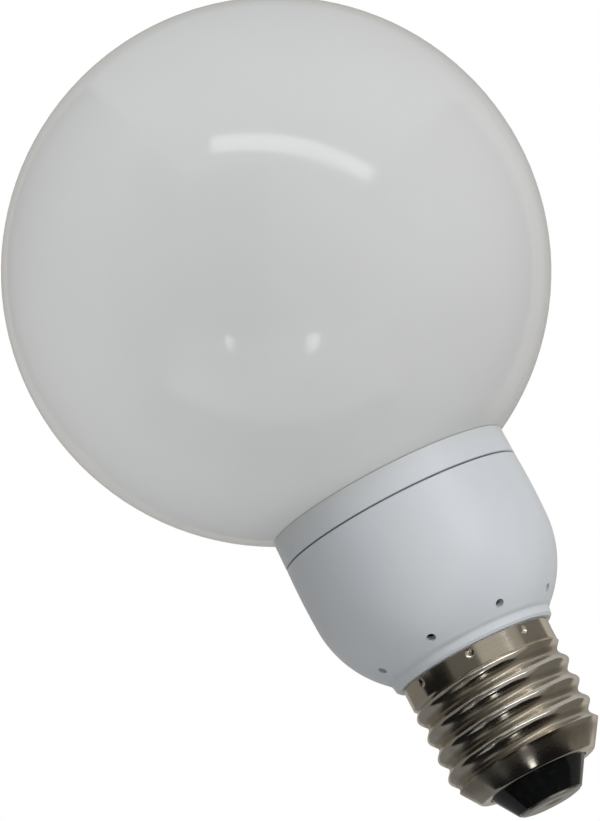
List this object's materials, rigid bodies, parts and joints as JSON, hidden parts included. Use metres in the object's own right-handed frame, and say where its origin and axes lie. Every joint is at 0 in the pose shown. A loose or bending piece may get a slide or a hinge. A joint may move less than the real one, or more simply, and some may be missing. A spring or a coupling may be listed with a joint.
{
  "type": "energy saving bulb, globe form, E27 screw cap",
  "caption": "Globe energy saving lamp: opal glass ball, white vented ballast housing and an E27 screw cap.",
  "frame": {"origin": "centre of the contact face at the tip of the screw cap", "axes": "+Z along the lamp's axis, from the cap's tip to the top of the globe; +X through one vent hole"},
  "size_m": [0.088, 0.088, 0.1405],
  "materials": {
    "opal_glass": "opal, fire-polished gloss",
    "white_plastic": "cool white, moulded, semi-gloss",
    "nickel_plate": "nickel-plated brass, rolled",
    "black_glass": "black insulating glass, glossy",
    "cement": "set cement, matte",
    "phosphor_tube": "white phosphor seen through clear glass",
    "board_laminate": "laminate",
    "bobbin_plastic": "moulded, black",
    "can_sleeve": "shrunk sleeve over an aluminium can",
    "ferrite": "ground ferrite",
    "enamelled_wire": "enamelled copper",
    "film_coating": "dipped coating",
    "tinned_wire": "tinned",
    "lead_cover": "thin insulation"
  },
  "bodies": {
    "root": {"globe": "opal_glass", "collar": "white_plastic", "housing": "white_plastic", "cap_shell": "nickel_plate", "centre_contact": "nickel_plate", "cap_insulator": "black_glass", "neck_cement": "cement", "tube_cement": "cement", "discharge_tube": "phosphor_tube", "circuit_board": "board_laminate", "choke_bobbin": "bobbin_plastic", "transistor_1": "bobbin_plastic", "transistor_2": "bobbin_plastic", "diode_1": "bobbin_plastic", "diode_2": "bobbin_plastic", "diode_3": "bobbin_plastic", "diode_4": "bobbin_plastic", "smoothing_capacitor": "can_sleeve", "choke_core": "ferrite", "drive_core": "ferrite", "choke_winding": "enamelled_wire", "drive_winding": "enamelled_wire", "start_capacitor": "film_coating", "coupling_capacitor": "film_coating", "resistor_1": "film_coating", "resistor_2": "film_coating", "fuse_resistor": "film_coating", "contact_solder": "tinned_wire", "shell_solder": "tinned_wire", "filament_leads": "tinned_wire", "wrap_pins": "tinned_wire", "live_lead": "lead_cover", "neutral_lead": "lead_cover"}
  },
  "joints": []
}
